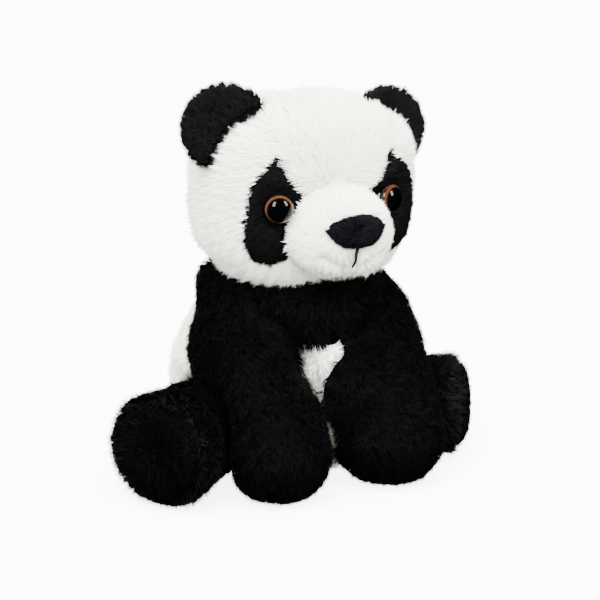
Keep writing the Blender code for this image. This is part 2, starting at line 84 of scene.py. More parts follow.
def add_object(name, mesh):
    obj = bpy.data.objects.new(name, mesh)
    bpy.context.scene.collection.objects.link(obj)
    return obj


def joined(names, extra=()):
    """One mesh holding the closed solids of several CAD nodes and any extra meshes."""
    bm = bmesh.new()
    for n in names:
        bm.from_mesh(NODES[n].data)
    for mesh in extra:
        bm.from_mesh(mesh)
    bmesh.ops.remove_doubles(bm, verts=bm.verts, dist=1e-6)
    mesh = bpy.data.meshes.new("joined")
    bm.to_mesh(mesh)
    bm.free()
    return mesh


def ellipsoid(centre, radii, segments=32, rings=20):
    bm = bmesh.new()
    bmesh.ops.create_uvsphere(bm, u_segments=segments, v_segments=rings, radius=1.0)
    for v in bm.verts:
        v.co = Vector(centre[i] + v.co[i] * radii[i] for i in range(3))
    mesh = bpy.data.meshes.new("ellipsoid")
    bm.to_mesh(mesh)
    bm.free()
    return mesh


def evaluated_mesh(obj):
    graph = bpy.context.evaluated_depsgraph_get()
    return bpy.data.meshes.new_from_object(obj.evaluated_get(graph))


def largest_shell(mesh):
    """Keeps the outermost surface of a remeshed body and drops anything sealed inside it."""
    bm = bmesh.new()
    bm.from_mesh(mesh)
    left = set(bm.verts)
    groups = []
    while left:
        seed = left.pop()
        group, edge = {seed}, [seed]
        while edge:
            nxt = []
            for v in edge:
                for e in v.link_edges:
                    o = e.other_vert(v)
                    if o not in group:
                        group.add(o)
                        nxt.append(o)
            edge = nxt
        left -= group
        groups.append(group)
    groups.sort(key=len)
    for group in groups[:-1]:
        bmesh.ops.delete(bm, geom=list(group), context='VERTS')
    bmesh.ops.recalc_face_normals(bm, faces=bm.faces)
    bm.to_mesh(mesh)
    bm.free()
    return mesh


def verts_of(mesh):
    co = np.zeros(len(mesh.vertices) * 3)
    mesh.vertices.foreach_get("co", co)
    return co.reshape(-1, 3)


def set_verts(mesh, co):
    mesh.vertices.foreach_set("co", np.ascontiguousarray(co, dtype=np.float32).ravel())
    mesh.update()


def normals_of(mesh):
    n = np.zeros(len(mesh.vertices) * 3)
    mesh.vertices.foreach_get("normal", n)
    return n.reshape(-1, 3)


def edges_of(mesh):
    e = np.zeros(len(mesh.edges) * 2, dtype=np.int64)
    mesh.edges.foreach_get("vertices", e)
    return e.reshape(-1, 2)


def relax(mesh, times, share=0.5):
    """Laplacian smoothing of a mesh, all vertices at once."""
    co = verts_of(mesh)
    e = edges_of(mesh)
    count = np.bincount(e.ravel(), minlength=len(co)).astype(float)[:, None]
    for _ in range(times):
        total = np.zeros_like(co)
        for k in range(3):
            total[:, k] = (np.bincount(e[:, 0], co[e[:, 1], k], len(co))
                           + np.bincount(e[:, 1], co[e[:, 0], k], len(co)))
        co += share * (total / count - co)
    set_verts(mesh, co)


def volume_of(mesh):
    bm = bmesh.new()
    bm.from_mesh(mesh)
    v = bm.calc_volume()
    bm.free()
    return v


def stuffed(name, names, voxel, rounds, extra=()):
    """A smooth closed body around CAD solids: remeshed, relaxed, and filled back to its volume."""
    tmp = add_object("tmp", joined(names, extra))
    mod = tmp.modifiers.new("remesh", 'REMESH')
    mod.mode = 'VOXEL'
    mod.voxel_size = voxel
    mesh = largest_shell(evaluated_mesh(tmp))
    bpy.data.objects.remove(tmp, do_unlink=True)
    before = volume_of(mesh)
    relax(mesh, rounds)
    for _ in range(3):
        after = volume_of(mesh)
        area = sum(p.area for p in mesh.polygons)
        set_verts(mesh, verts_of(mesh) + normals_of(mesh) * (before - after) / area)
    mesh.name = name
    for p in mesh.polygons:
        p.use_smooth = True
    return add_object(name, mesh)


def tree_of(names):
    """A search tree over several CAD nodes."""
    mesh = joined(names)
    tree = BVHTree.FromPolygons([v.co for v in mesh.vertices],
                                [tuple(p.vertices) for p in mesh.polygons])
    bpy.data.meshes.remove(mesh)
    return tree


def distances(points, tree):
    return np.array([tree.find_nearest(Vector(p))[3] for p in points])


def smooth_noise(points, scale, seed, count=7):
    """Three smooth random values per point, each about -1 to 1, from a few sine waves."""
    rng = np.random.default_rng(seed)
    out = np.zeros((len(points), 3))
    for _ in range(count):
        k = unit(rng.normal(size=3)) * (2 * math.pi / scale) * rng.uniform(0.6, 1.5)
        phase = rng.uniform(0, 2 * math.pi, 3)
        out += np.sin(points @ k[:, None] + phase[None])
    return out / math.sqrt(count / 2)


# ------------------------------------------------------------------ materials

def principled(name):
    """A new material with its node tree and its Principled shader."""
    mat = bpy.data.materials.new(name)
    mat.use_nodes = True
    return mat, mat.node_tree, mat.node_tree.nodes["Principled BSDF"]


def fur_material(name, colour, roughness, sheen, specular, sheen_rough=0.4, tint=(1, 1, 1)):
    """A plain strand material: one colour over its whole length, with a little sheen."""
    mat, tree, shader = principled(name)
    shader.inputs["Base Color"].default_value = (*colour, 1.0)
    shader.inputs["Roughness"].default_value = roughness
    shader.inputs["Specular IOR Level"].default_value = specular
    shader.inputs["Sheen Weight"].default_value = sheen
    shader.inputs["Sheen Roughness"].default_value = sheen_rough
    shader.inputs["Sheen Tint"].default_value = (*tint, 1.0)
    return mat


def fur_tones(name, colour, spread, **look):
    """Several close tones of one pile, so neighbouring strands differ."""
    tones = []
    for i, share in enumerate(np.linspace(-1, 1, 4)):
        shade = tuple(min(1.0, c * (1 + spread * share)) for c in colour)
        tones.append(fur_material("%s_%d" % (name, i), shade, **look))
    return tones


def cloth_material(name, colour, dark, scale, bump, roughness=0.9, sheen=0.3, specular=0.2):
    """Backing cloth with packed pile: mottled colour and a fine nap."""
    mat, tree, shader = principled(name)
    nodes, links = tree.nodes, tree.links
    coord = nodes.new("ShaderNodeTexCoord")
    nap = nodes.new("ShaderNodeTexNoise")
    nap.inputs["Scale"].default_value = scale
    nap.inputs["Detail"].default_value = 6.0
    nap.inputs["Roughness"].default_value = 0.7
    patch = nodes.new("ShaderNodeTexNoise")
    patch.inputs["Scale"].default_value = scale / 14
    mixer = nodes.new("ShaderNodeMath")
    mixer.operation = 'MULTIPLY'
    ramp = nodes.new("ShaderNodeValToRGB")
    ramp.color_ramp.elements[0].position = 0.12
    ramp.color_ramp.elements[0].color = (*dark, 1.0)
    ramp.color_ramp.elements[1].position = 0.42
    ramp.color_ramp.elements[1].color = (*colour, 1.0)
    lift = nodes.new("ShaderNodeBump")
    lift.inputs["Strength"].default_value = bump
    lift.inputs["Distance"].default_value = 0.0006
    links.new(coord.outputs["Object"], nap.inputs["Vector"])
    links.new(coord.outputs["Object"], patch.inputs["Vector"])
    links.new(nap.outputs["Fac"], mixer.inputs[0])
    links.new(patch.outputs["Fac"], mixer.inputs[1])
    links.new(mixer.outputs["Value"], ramp.inputs["Fac"])
    links.new(ramp.outputs["Color"], shader.inputs["Base Color"])
    links.new(nap.outputs["Fac"], lift.inputs["Height"])
    links.new(lift.outputs["Normal"], shader.inputs["Normal"])
    shader.inputs["Roughness"].default_value = roughness
    shader.inputs["Specular IOR Level"].default_value = specular
    shader.inputs["Sheen Weight"].default_value = sheen
    return mat


WHITE = (0.92, 0.92, 0.82)
# A grey copy of the white pile: painted shade for the low belly between the arms.
SHADED_BELLY_WHITE = (0.42, 0.42, 0.36)
MUZZLE_WHITE = (0.94, 0.94, 0.84)
BLACK = (0.0011, 0.0011, 0.00125)
PATCH_BLACK = (0.0026, 0.0026, 0.0029)
EAR_BLACK = (0.0042, 0.0043, 0.0048)
NOSE_BLACK = (0.0030, 0.0031, 0.0039)
COOL = (0.9, 0.92, 1.0)
COLD = (0.9, 0.9, 1.0)
WHITE_PILE = fur_tones("pile_white", WHITE, 0.03, roughness=0.7, sheen=0.25, specular=0.25, sheen_rough=0.5)
BELLY_SHADE_PILE = fur_tones("pile_belly", SHADED_BELLY_WHITE, 0.12, roughness=0.8, sheen=0.1, specular=0.15,
                       sheen_rough=0.5)
MUZZLE_PILE = fur_tones("pile_muzzle", MUZZLE_WHITE, 0.04, roughness=0.75, sheen=0.25, specular=0.2,
                        sheen_rough=0.5)
BLACK_PILE = fur_tones("pile_black", BLACK, 0.5, roughness=0.5, sheen=0.006, specular=0.02, tint=COOL)
PATCH_PILE = fur_tones("pile_patch", PATCH_BLACK, 0.35, roughness=0.5, sheen=0.002, specular=0.03, tint=COLD)
EAR_PILE = fur_tones("pile_ear", EAR_BLACK, 0.5, roughness=0.5, sheen=0.004, specular=0.03, tint=COOL)
NOSE_PILE = fur_tones("pile_nose", NOSE_BLACK, 0.3, roughness=0.6, sheen=0.002, specular=0.04, tint=COLD)
WHITE_CLOTH = cloth_material("cloth_white", (0.88, 0.87, 0.84), (0.72, 0.71, 0.67), 900, 0.5)
BLACK_CLOTH = cloth_material("cloth_black", (0.0008, 0.0008, 0.0009), (0.0004, 0.0004, 0.00045), 900, 0.6,
                             roughness=0.95, sheen=0.001, specular=0.01)


# ------------------------------------------------------------------ pile as mesh

SKIN_SHADE = 0.7          # how far a strand is shaded like the skin under it

# Strands per square centimetre, their length and width in metres, their lean from the skin in radians.
Pile = namedtuple("Pile", "density length width lean")
FACE = Pile(400, 0.0076, 0.00036, 0.34)
HEAD_BACK = Pile(270, 0.0076, 0.00044, 0.34)
PATCH = Pile(560, 0.0076 * 0.66, 0.00034, 0.306)
MUZZLE = Pile(620, 0.0040, 0.00034, 0.5)
NOSE = Pile(900, 0.0022, 0.00034, 0.55)
EAR = Pile(560, 0.0050, 0.00036, 0.5)
ARM = Pile(300, 0.0062, 0.00040, 0.36)
TORSO = Pile(225, 0.0078, 0.00042, 0.34)
LEG = Pile(270, 0.0062, 0.00042, 0.38)
SOLE_RIM = Pile(230, 0.0070, 0.00036, 0.75)
TAIL = Pile(300, 0.0075, 0.00046, 0.5)
SHORTEST_STRAND = 0.0008


class Coat:
    """A body's skin read as arrays, ready to grow strands from."""

    def __init__(self, obj):
        mesh = obj.data
        mesh.calc_loop_triangles()
        self.co = verts_of(mesh)
        self.no = normals_of(mesh)
        tri = np.zeros(len(mesh.loop_triangles) * 3, dtype=np.int64)
        mesh.loop_triangles.foreach_get("vertices", tri)
        self.tri = tri.reshape(-1, 3)
        a, b, c = (self.co[self.tri[:, k]] for k in range(3))
        self.area = np.linalg.norm(np.cross(b - a, c - a), axis=1) / 2

    def spread(self, density, weight, rng):
        """Random roots: density per square centimetre, times a per-vertex weight."""
        w = weight[self.tri].mean(axis=1) * self.area
        total = w.sum()
        count = int(density * total * 1e4)
        pick = rng.choice(len(w), size=count, p=w / total)
        r1 = np.sqrt(rng.random(count))[:, None]
        r2 = rng.random(count)[:, None]
        bary = np.hstack([1 - r1, r1 * (1 - r2), r1 * r2])
        corner = self.tri[pick]
        return corner, bary

    def at(self, values, corner, bary):
        """Per-vertex values read off at the roots."""
        v = values[corner]
        if v.ndim == 3:
            return (v * bary[:, :, None]).sum(axis=1)
        return (v * bary).sum(axis=1)


def strands(name, roots, normal, comb, length, lean, width, tones, seed, floor=None, sink=0.0006):
    """Tapered blades: each leaves its root at the lean angle and bends over towards the comb."""
    rng = np.random.default_rng(seed)
    count = len(roots)
    rise = np.sin(lean)[:, None]
    flat = np.cos(lean)[:, None]
    start = unit(normal * (rise + 0.55) + comb * flat * 0.8)
    end = unit(normal * (rise - 0.12) + comb * flat)
    L = length[:, None]
    p0 = roots - normal * sink
    p1 = p0 + start * L * 0.48
    p2 = p1 + end * L * 0.52
    side = unit(np.cross(start, normal))
    twist = rng.normal(0, 0.35, count)[:, None]
    side = unit(side + normal * twist)
    W = (width * rng.uniform(0.75, 1.25, count))[:, None] / 2
    verts = np.stack([p0 - side * W, p0 + side * W, p1 + side * W * 0.85, p1 - side * W * 0.85, p2], axis=1)
    verts = verts.reshape(-1, 3)
    if floor is not None:
        verts[:, 2] = np.maximum(verts[:, 2], floor)
    base = np.arange(count)[:, None] * 5
    quad = base + np.array([0, 1, 2, 3])[None]
    tri = base + np.array([3, 2, 4])[None]
    loops = np.hstack([quad, tri]).ravel()
    starts = (np.arange(count)[:, None] * 7 + np.array([0, 4])[None]).ravel()
    mesh = bpy.data.meshes.new(name)
    mesh.vertices.add(len(verts))
    mesh.vertices.foreach_set("co", verts.astype(np.float32).ravel())
    mesh.loops.add(len(loops))
    mesh.loops.foreach_set("vertex_index", loops.astype(np.int32))
    mesh.polygons.add(count * 2)
    mesh.polygons.foreach_set("loop_start", starts.astype(np.int32))
    for tone in tones:
        mesh.materials.append(tone)
    which = np.repeat(rng.integers(0, len(tones), count), 2)
    mesh.polygons.foreach_set("material_index", which.astype(np.int32))
    mesh.polygons.foreach_set("use_smooth", np.ones(count * 2, dtype=bool))
    mesh.update(calc_edges=True)
    facing = unit(np.cross(side, start))
    shade = unit(normal * SKIN_SHADE + facing * (1 - SKIN_SHADE))
    mesh.normals_split_custom_set_from_vertices(np.repeat(shade, 5, axis=0))
    return add_object(name, mesh)


def grow(name, coat, pile, weight, comb, share, tones, seed,
         floor=None, wander=0.35, clump=0.45, clump_size=0.004, keep=None):
    """Grows a pile. Weight, comb and share (of the pile's length) are per vertex; noise makes locks."""
    rng = np.random.default_rng(seed)
    corner, bary = coat.spread(pile.density, weight, rng)
    p = coat.at(coat.co, corner, bary)
    n = unit(coat.at(coat.no, corner, bary))
    if keep is not None:
        ok = keep(p)
        corner, bary, p, n = corner[ok], bary[ok], p[ok], n[ok]
    c = coat.at(comb, corner, bary)
    L = coat.at(share, corner, bary) * pile.length
    c = unit(c - n * (c * n).sum(1, keepdims=True))
    broad = smooth_noise(p, 0.018, seed + 1)
    lock = smooth_noise(p, clump_size, seed + 2)
    c = c + broad * wander * 0.6 + lock * clump + rng.normal(0, wander * 0.35, p.shape)
    c = unit(c - n * (c * n).sum(1, keepdims=True))
    a = pile.lean + broad[:, 0] * 0.06 + lock[:, 1] * 0.08 + rng.normal(0, 0.1, len(p))
    L = L * (1 + 0.10 * lock[:, 2] + rng.normal(0, 0.10, len(p)))
    L = np.maximum(L, SHORTEST_STRAND)
    return strands(name, p, n, c, L, np.clip(a, 0.08, 1.3), pile.width, tones, seed + 3, floor)


# ------------------------------------------------------------------ skins

SEAM_REACH = 0.0035       # how far a seam draws the cloth in beside it
FLOOR_GAP = 0.0004
SPREAD_HEIGHT = 0.011     # below this height a soft underside spreads on the floor
PILE_ROOM = 0.0026        # how far under the CAD's surface a skin lies, to leave room for its pile
UNDERSIDE = -0.8          # a normal pointing further down than this faces the floor


def panel_map(co, names):
    """Per vertex: the nearest panel, a weight that is 1 on a seam, and the distance to each panel."""
    trees = [tree_of([n]) for n in names]
    d = np.stack([distances(co, t) for t in trees], axis=1)
    order = np.argsort(d, axis=1)
    near = order[:, 0]
    gap = np.take_along_axis(d, order[:, 1:2], 1)[:, 0] - np.take_along_axis(d, order[:, :1], 1)[:, 0]
    return near, np.exp(-(gap / SEAM_REACH) ** 2), d


def paint(obj, mats, index):
    """Material per face from a per-vertex index."""
    mesh = obj.data
    for m in mats:
        mesh.materials.append(m)
    for p in mesh.polygons:
        p.material_index = int(np.bincount([index[v] for v in p.vertices]).argmax())


def mark(obj, body, replaced):
    """Hangs a piece on its body and hides the CAD nodes it replaces."""
    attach(obj, body)
    if replaced:
        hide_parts(*replaced)


def sunk(obj, amount):
    """Draws a skin in along its normals by a per-vertex amount, to leave room for the pile."""
    mesh = obj.data
    set_verts(mesh, verts_of(mesh) - normals_of(mesh) * np.broadcast_to(amount, len(mesh.vertices))[:, None])


def without_strips(mesh, keep, rounds=2):
    """Drops the thin strips of a vertex mask: it is shrunk and grown again inside itself."""
    a, b = edges_of(mesh).T
    thin = keep.copy()
    for _ in range(rounds):
        bad = ~thin
        worn = thin.copy()
        worn[a[bad[b]]] = False
        worn[b[bad[a]]] = False
        thin = worn
    for _ in range(rounds):
        wide = thin.copy()
        wide[a[thin[b]]] = True
        wide[b[thin[a]]] = True
        thin = wide & keep
    return thin


def split_off(obj, name, keep):
    """A new object with only the faces whose vertices are all marked in keep."""
    keep = without_strips(obj.data, keep)
    bm = bmesh.new()
    bm.from_mesh(obj.data)
    bm.verts.ensure_lookup_table()
    gone = [v for v in bm.verts if not keep[v.index]]
    bmesh.ops.delete(bm, geom=gone, context='VERTS')
    mesh = bpy.data.meshes.new(name)
    bm.to_mesh(mesh)
    bm.free()
    for p in mesh.polygons:
        p.use_smooth = True
    smooth_rim(mesh, 14)
    return add_object(name, mesh)


def open_rim(mesh):
    """The open edges of a cut skin, as vertex pairs."""
    index = np.zeros(len(mesh.loops), dtype=np.int64)
    mesh.loops.foreach_get("edge_index", index)
    return edges_of(mesh)[np.bincount(index, minlength=len(mesh.edges)) == 1]


def over_rim(mesh, reach):
    """Per vertex, a pull across the nearest open edge, strongest at the edge."""
    co = verts_of(mesh)
    spots = np.unique(open_rim(mesh))
    tree = KDTree(len(spots))
    for i in spots:
        tree.insert(Vector(co[i]), int(i))
    tree.balance()
    pull = np.zeros_like(co)
    for i, p in enumerate(co):
        spot, _, gap = tree.find(Vector(p))
        if gap > 1e-6:
            pull[i] = (np.array(spot) - p) / gap * math.exp(-(gap / reach) ** 2)
    a, b = edges_of(mesh).T
    shared = np.zeros_like(co)
    np.add.at(shared, a, pull[b])
    np.add.at(shared, b, pull[a])
    pull[spots] = unit(shared[spots])
    return pull


def smooth_rim(mesh, times):
    """Straightens the stepped open edge of a cut skin by averaging along it."""
    rim = open_rim(mesh)
    co = verts_of(mesh)
    count = np.bincount(rim.ravel(), minlength=len(co)).astype(float)
    on = count > 0
    for _ in range(times):
        total = np.zeros_like(co)
        for k in range(3):
            total[:, k] = np.bincount(rim[:, 0], co[rim[:, 1], k], len(co)) + np.bincount(
                rim[:, 1], co[rim[:, 0], k], len(co))
        co[on] += 0.5 * (total[on] / count[on, None] - co[on])
    set_verts(mesh, co)


def relax_where(mesh, times, weight):
    """Smooths only where the weight says so."""
    co = verts_of(mesh)
    for _ in range(times):
        before = co.copy()
        relax(mesh, 1)
        co = before + (verts_of(mesh) - before) * weight[:, None]
        set_verts(mesh, co)


def groove(co, path, width):
    """1 along a polyline, falling off over the width. Distances are measured in 3-D."""
    best = np.full(len(co), 1e9)
    for a, b in zip(path, path[1:]):
        a, b = np.array(a), np.array(b)
        d = b - a
        t = np.clip(((co - a) @ d) / (d @ d), 0, 1)
        best = np.minimum(best, np.linalg.norm(co - (a + t[:, None] * d), axis=1))
    return np.exp(-(best / width) ** 2)


def settle(mesh, height):
    """Lets a soft underside spread on the floor: everything low moves closer to it."""
    co = verts_of(mesh)
    low = np.clip(co[:, 2] / height, 0, 1)
    co[:, 2] = np.where(co[:, 2] < height, np.maximum(co[:, 2] * low, 0.0012), co[:, 2])
    set_verts(mesh, co)


def near_floor(co):
    """The share of the pile's length left where the floor presses it short."""
    return np.clip(0.3 + co[:, 2] / 0.016, 0, 1)


def surface_tree(obj):
    mesh = obj.data
    return BVHTree.FromPolygons([v.co for v in mesh.vertices], [tuple(p.vertices) for p in mesh.polygons])


# --- head
HEAD_NODES = BODIES["head"]
head_low, head_high = boxes([n for n in HEAD_NODES if "eye" not in n and n != "nose"])
head_mid = (head_low + head_high) / 2
nose_low, nose_high = boxes(["nose"])
face_point = np.array([0.0, nose_low[1], (nose_low[2] + nose_high[2]) / 2])

MUZZLE_ROOM = 0.0012
SOCKET_DEPTH = 0.0022
CREASE_DEPTH = 0.0026
EYE_SHIFT = {"left": np.array([-0.0024, -0.0008, 0.0]), "right": np.zeros(3)}
soft_head = [n for n in HEAD_NODES if not n.startswith("eye_") and n not in ("nose", "mouth_stitch")]
soft_head += ["eye_patch_left", "eye_patch_right"]
plugs = []
EYES = {}
for side, word in SIDES:
    v = verts_of(NODES["eye_" + word].data)
    centre = v.mean(axis=0)
    values, vectors = np.linalg.eigh(np.cov((v - centre).T))
    axis = vectors[:, np.argmax(np.abs(vectors[1]))]
    axis = axis * (-np.sign(axis[1]))
    along = (v - centre) @ axis
    radius = np.linalg.norm((v - centre) - along[:, None] * axis, axis=1).max()
    apex = centre + axis * along.max() + EYE_SHIFT[word]
    EYES[word] = (apex, axis, radius)
    plugs.append(ellipsoid(apex - axis * 0.0105, (0.0082, 0.0075, 0.0082)))

head_skin = stuffed("head_skin", soft_head + ["neck_stuffing"], 0.0022, 11, plugs)
co = verts_of(head_skin.data)
WHITE_PANELS = ["forehead_gusset", "cheek_left", "cheek_right", "nape_left", "nape_right", "chin_panel"]
MUZZLE_PANELS = ["muzzle_left", "muzzle_right"]
PATCH_PANELS = ["eye_patch_left", "eye_patch_right"]
head_panels = WHITE_PANELS + MUZZLE_PANELS + PATCH_PANELS
PATCH_COLUMN = {word: head_panels.index("eye_patch_" + word) for _, word in SIDES}
whites = len(WHITE_PANELS)
muzzles = [head_panels.index(n) for n in MUZZLE_PANELS]
near, seam, dist = panel_map(co, head_panels)
PATCH_GAIN = 0.0026       # how far a patch's upper inner corner reaches past its CAD panel
patch_low = boxes(["eye_patch_right"])[0]
upper = np.clip((co[:, 2] - patch_low[2] - 0.025) / 0.012, 0, 1)
for side, word in SIDES:
    inner = np.clip((EYES[word][0][0] * side + 0.003 - co[:, 0] * side) / 0.008, 0, 1)
    wins = dist[:, PATCH_COLUMN[word]] - PATCH_GAIN * upper * inner < dist[:, :whites].min(axis=1)
    near = np.where(wins & (upper * inner > 0) & (near < whites), PATCH_COLUMN[word], near)
is_muzzle = np.isin(near, muzzles)
is_patch = np.isin(near, list(PATCH_COLUMN.values()))
to_muzzle = dist[:, muzzles].min(axis=1)
to_others = np.delete(dist, muzzles, axis=1).min(axis=1)
seam_muzzle = np.exp(-((to_muzzle - to_others) / 0.0045) ** 2)
draw_in = np.where(is_muzzle, MUZZLE_ROOM, PILE_ROOM) + seam * 0.0010 + seam_muzzle * 0.0016
socket = np.zeros(len(co))
for word, (apex, axis, radius) in EYES.items():
    offset = co - (apex - axis * 0.003)
    across = np.linalg.norm(offset - (offset @ axis)[:, None] * axis, axis=1)
    front = (offset @ axis) > -0.02
    socket = np.maximum(socket, front * np.exp(-(across / 0.0105) ** 4))
sunk(head_skin, draw_in + socket * SOCKET_DEPTH)
relax(head_skin.data, 2)
head_tree = surface_tree(head_skin)
stitch_low = boxes(["mouth_stitch"])[0]


def on_muzzle(x, z, lift):
    """The spot of the muzzle's skin straight behind (x, z), raised by lift."""
    start = Vector((x if abs(x) > 0.0006 else 0.0006, nose_low[1] - 0.05, z))
    spot, normal, _, _ = head_tree.ray_cast(start, Vector((0, 1, 0)))
    spot.x = x
    return spot + normal * lift


SMILE_REACH = 0.0155
SMILE_RISE = 0.0065
drop = np.linspace(nose_low[2] + 0.002, stitch_low[2] + 0.0036, 12)
crease = groove(verts_of(head_skin.data), [tuple(on_muzzle(0.0, z, 0)) for z in drop], 0.0016)
for side, word in SIDES:
    smile = [tuple(on_muzzle(side * SMILE_REACH * t, drop[-1] - 0.001 + SMILE_RISE * t ** 1.6, 0))
             for t in np.linspace(0, 1, 9)]
    crease = np.maximum(crease, groove(verts_of(head_skin.data), smile, 0.0017))
sunk(head_skin, crease * CREASE_DEPTH)
head_coat = Coat(head_skin)
hco = head_coat.co
face_way = unit(hco - face_point)
comb = face_way * np.array([1.0, 1.0, 0.8]) + np.array([0, 0.25, -0.45])
paint(head_skin, [WHITE_CLOTH, BLACK_CLOTH], is_patch.astype(int))
mark(head_skin, "head", [n for n in soft_head if "patch" not in n and "muzzle" not in n])


def clear_of_eyes(p):
    ok = np.ones(len(p), dtype=bool)
    for word, (apex, axis, radius) in EYES.items():
        offset = p - (apex - axis * 0.004)
        across = np.linalg.norm(offset - (offset @ axis)[:, None] * axis, axis=1)
        ok &= (across > radius * 0.99) | ((offset @ axis) < -0.02)
    return ok


def clear_of_nose(p):
    inside = (np.abs(p[:, 0]) < (nose_high[0] - 0.003)) & (p[:, 2] > nose_low[2] + 0.003)
    inside &= (p[:, 2] < nose_high[2] - 0.002) & (p[:, 1] < nose_high[1] + 0.002)
    return ~inside


def clear_of_face_parts(p):
    return clear_of_eyes(p) & clear_of_nose(p)


neck_mid = middle(["neck_stuffing"])
under = np.clip((neck_mid[2] - hco[:, 2]) / 0.006, 0, 1) * (
    np.linalg.norm(hco[:, :2] - neck_mid[:2], axis=1) < 0.028)
eye_near = np.full(len(hco), 1.0)
for word, (apex, axis, radius) in EYES.items():
    gap = np.linalg.norm(hco - (apex - axis * 0.004), axis=1) - radius
    eye_near = np.minimum(eye_near, np.clip(gap / 0.010, 0.0, 1.0))
long_share = (0.35 + 0.65 * eye_near) * (1 - 0.25 * seam) * (1 - 0.45 * seam_muzzle)
white_w = (~is_muzzle & ~is_patch).astype(float) * (1 - 0.95 * under)
in_front = hco[:, 1] < head_mid[1]
for name, part, pile, seed in (("head_fur_front", in_front, FACE, 11),
                               ("head_fur_back", ~in_front, HEAD_BACK, 12)):
    fur = grow(name, head_coat, pile, white_w * part, comb, long_share, WHITE_PILE, seed,
               keep=clear_of_eyes, wander=0.22, clump=0.15)
    mark(fur, "head", [])
patch_comb = comb * np.array([1, 1, 0.2]) + np.array([0, 0, -0.6])
for word, column in PATCH_COLUMN.items():
    fur = grow("eye_patch_fur_" + word, head_coat, PATCH, (near == column).astype(float), patch_comb,
               long_share, PATCH_PILE, 21 + column, keep=clear_of_eyes, wander=0.25, clump=0.25)
    mark(fur, "head", ["eye_patch_" + word])
muzzle_way = unit(hco - (face_point + np.array([0, 0.004, 0])))
short_share = (0.5 + 0.5 * eye_near) * (1 - 0.75 * crease)
fur = grow("muzzle_fur", head_coat, MUZZLE, is_muzzle.astype(float), muzzle_way + np.array([0, 0, -0.15]),
           short_share, MUZZLE_PILE, 31, keep=clear_of_face_parts, clump=0.3, clump_size=0.003)
mark(fur, "head", MUZZLE_PANELS)

# --- nose
nose_skin = stuffed("nose_skin", ["nose"], 0.0008, 6)
sunk(nose_skin, 0.0006)
nose_coat = Coat(nose_skin)
nose_comb = unit(nose_coat.co - (face_point + np.array([0, 0, 0.003]))) + np.array([0, 0.3, -0.3])
paint(nose_skin, [BLACK_CLOTH], np.zeros(len(nose_coat.co), dtype=int))
mark(nose_skin, "head", ["nose"])
ones = np.ones(len(nose_coat.co))
fur = grow("nose_fur", nose_coat, NOSE, ones, nose_comb, ones, NOSE_PILE, 41, clump=0.3, clump_size=0.003)
mark(fur, "head", [])


# --- ears: the left one is stretched and set deeper, the right one is nearly the CAD's
EAR_SCALE = {"left": (1.28, 1.14, 1.12), "right": (1.06, 1.06, 1.05)}
EAR_MOVE = {"left": (-0.0052, -0.0035, -0.0022), "right": (0.0015, -0.0035, -0.0014)}


def make_ear(side, word):
    """One ear with its pile, from the CAD's two leaves."""
    ear_nodes = BODIES["ear_" + word]
    skin = stuffed("ear_skin_" + word, ear_nodes, 0.0011, 8)
    sunk(skin, 0.0010)
    ear_mid = middle(ear_nodes)
    grown = (verts_of(skin.data) - ear_mid) * np.array(EAR_SCALE[word])
    set_verts(skin.data, ear_mid + grown + np.array(EAR_MOVE[word]))
    coat = Coat(skin)
    low, high = boxes(ear_nodes)
    root = np.array([0.0, (low[1] + high[1]) / 2, head_mid[2]])
    ear_comb = unit(coat.co - root)
    rim = np.clip(np.abs(coat.no[:, 1]), 0, 1)
    ones = np.ones(len(coat.co))
    paint(skin, [BLACK_CLOTH], np.zeros(len(coat.co), dtype=int))
    mark(skin, "ear_" + word, ear_nodes)
    share = 1.1 - 0.25 * rim
    fur = grow("ear_fur_" + word, coat, EAR, ones, ear_comb, share, EAR_PILE, 51 + side, clump=0.25)
    mark(fur, "ear_" + word, [])


for side, word in SIDES:
    make_ear(side, word)

# --- torso
TORSO_PANELS = ["yoke_front", "yoke_back", "belly_panel", "back_panel_left", "back_panel_right", "seat_panel"]
yoke_low, yoke_high = boxes(["yoke_front", "yoke_back"])
chin_low = boxes(["chin_panel"])[0]
collar_z = (yoke_high[2] + chin_low[2]) / 2
collar = ellipsoid((0, neck_mid[1], collar_z), (0.043, 0.036, 0.011))
torso_fill = TORSO_PANELS + ["torso_stuffing", "pellet_bag", "neck_stuffing"]
torso_skin = stuffed("torso_skin", torso_fill, 0.0026, 14, [collar])
tco = verts_of(torso_skin.data)
near_t, seam_t, _ = panel_map(tco, TORSO_PANELS)
black_t = (near_t <= 1) | (tco[:, 2] > yoke_high[2] - 0.002)
base_flat = np.clip((0.006 - tco[:, 2]) / 0.004, 0, 1)
sunk(torso_skin, np.where(black_t, 0.0045, 0.0028) - 0.0012 * base_flat + seam_t * 0.0008)
paint(torso_skin, [WHITE_CLOTH, BLACK_CLOTH], black_t.astype(int))
torso_coat = Coat(torso_skin)
mark(torso_skin, "torso", [n for n in TORSO_PANELS if "yoke" not in n] + ["torso_stuffing", "pellet_bag"])

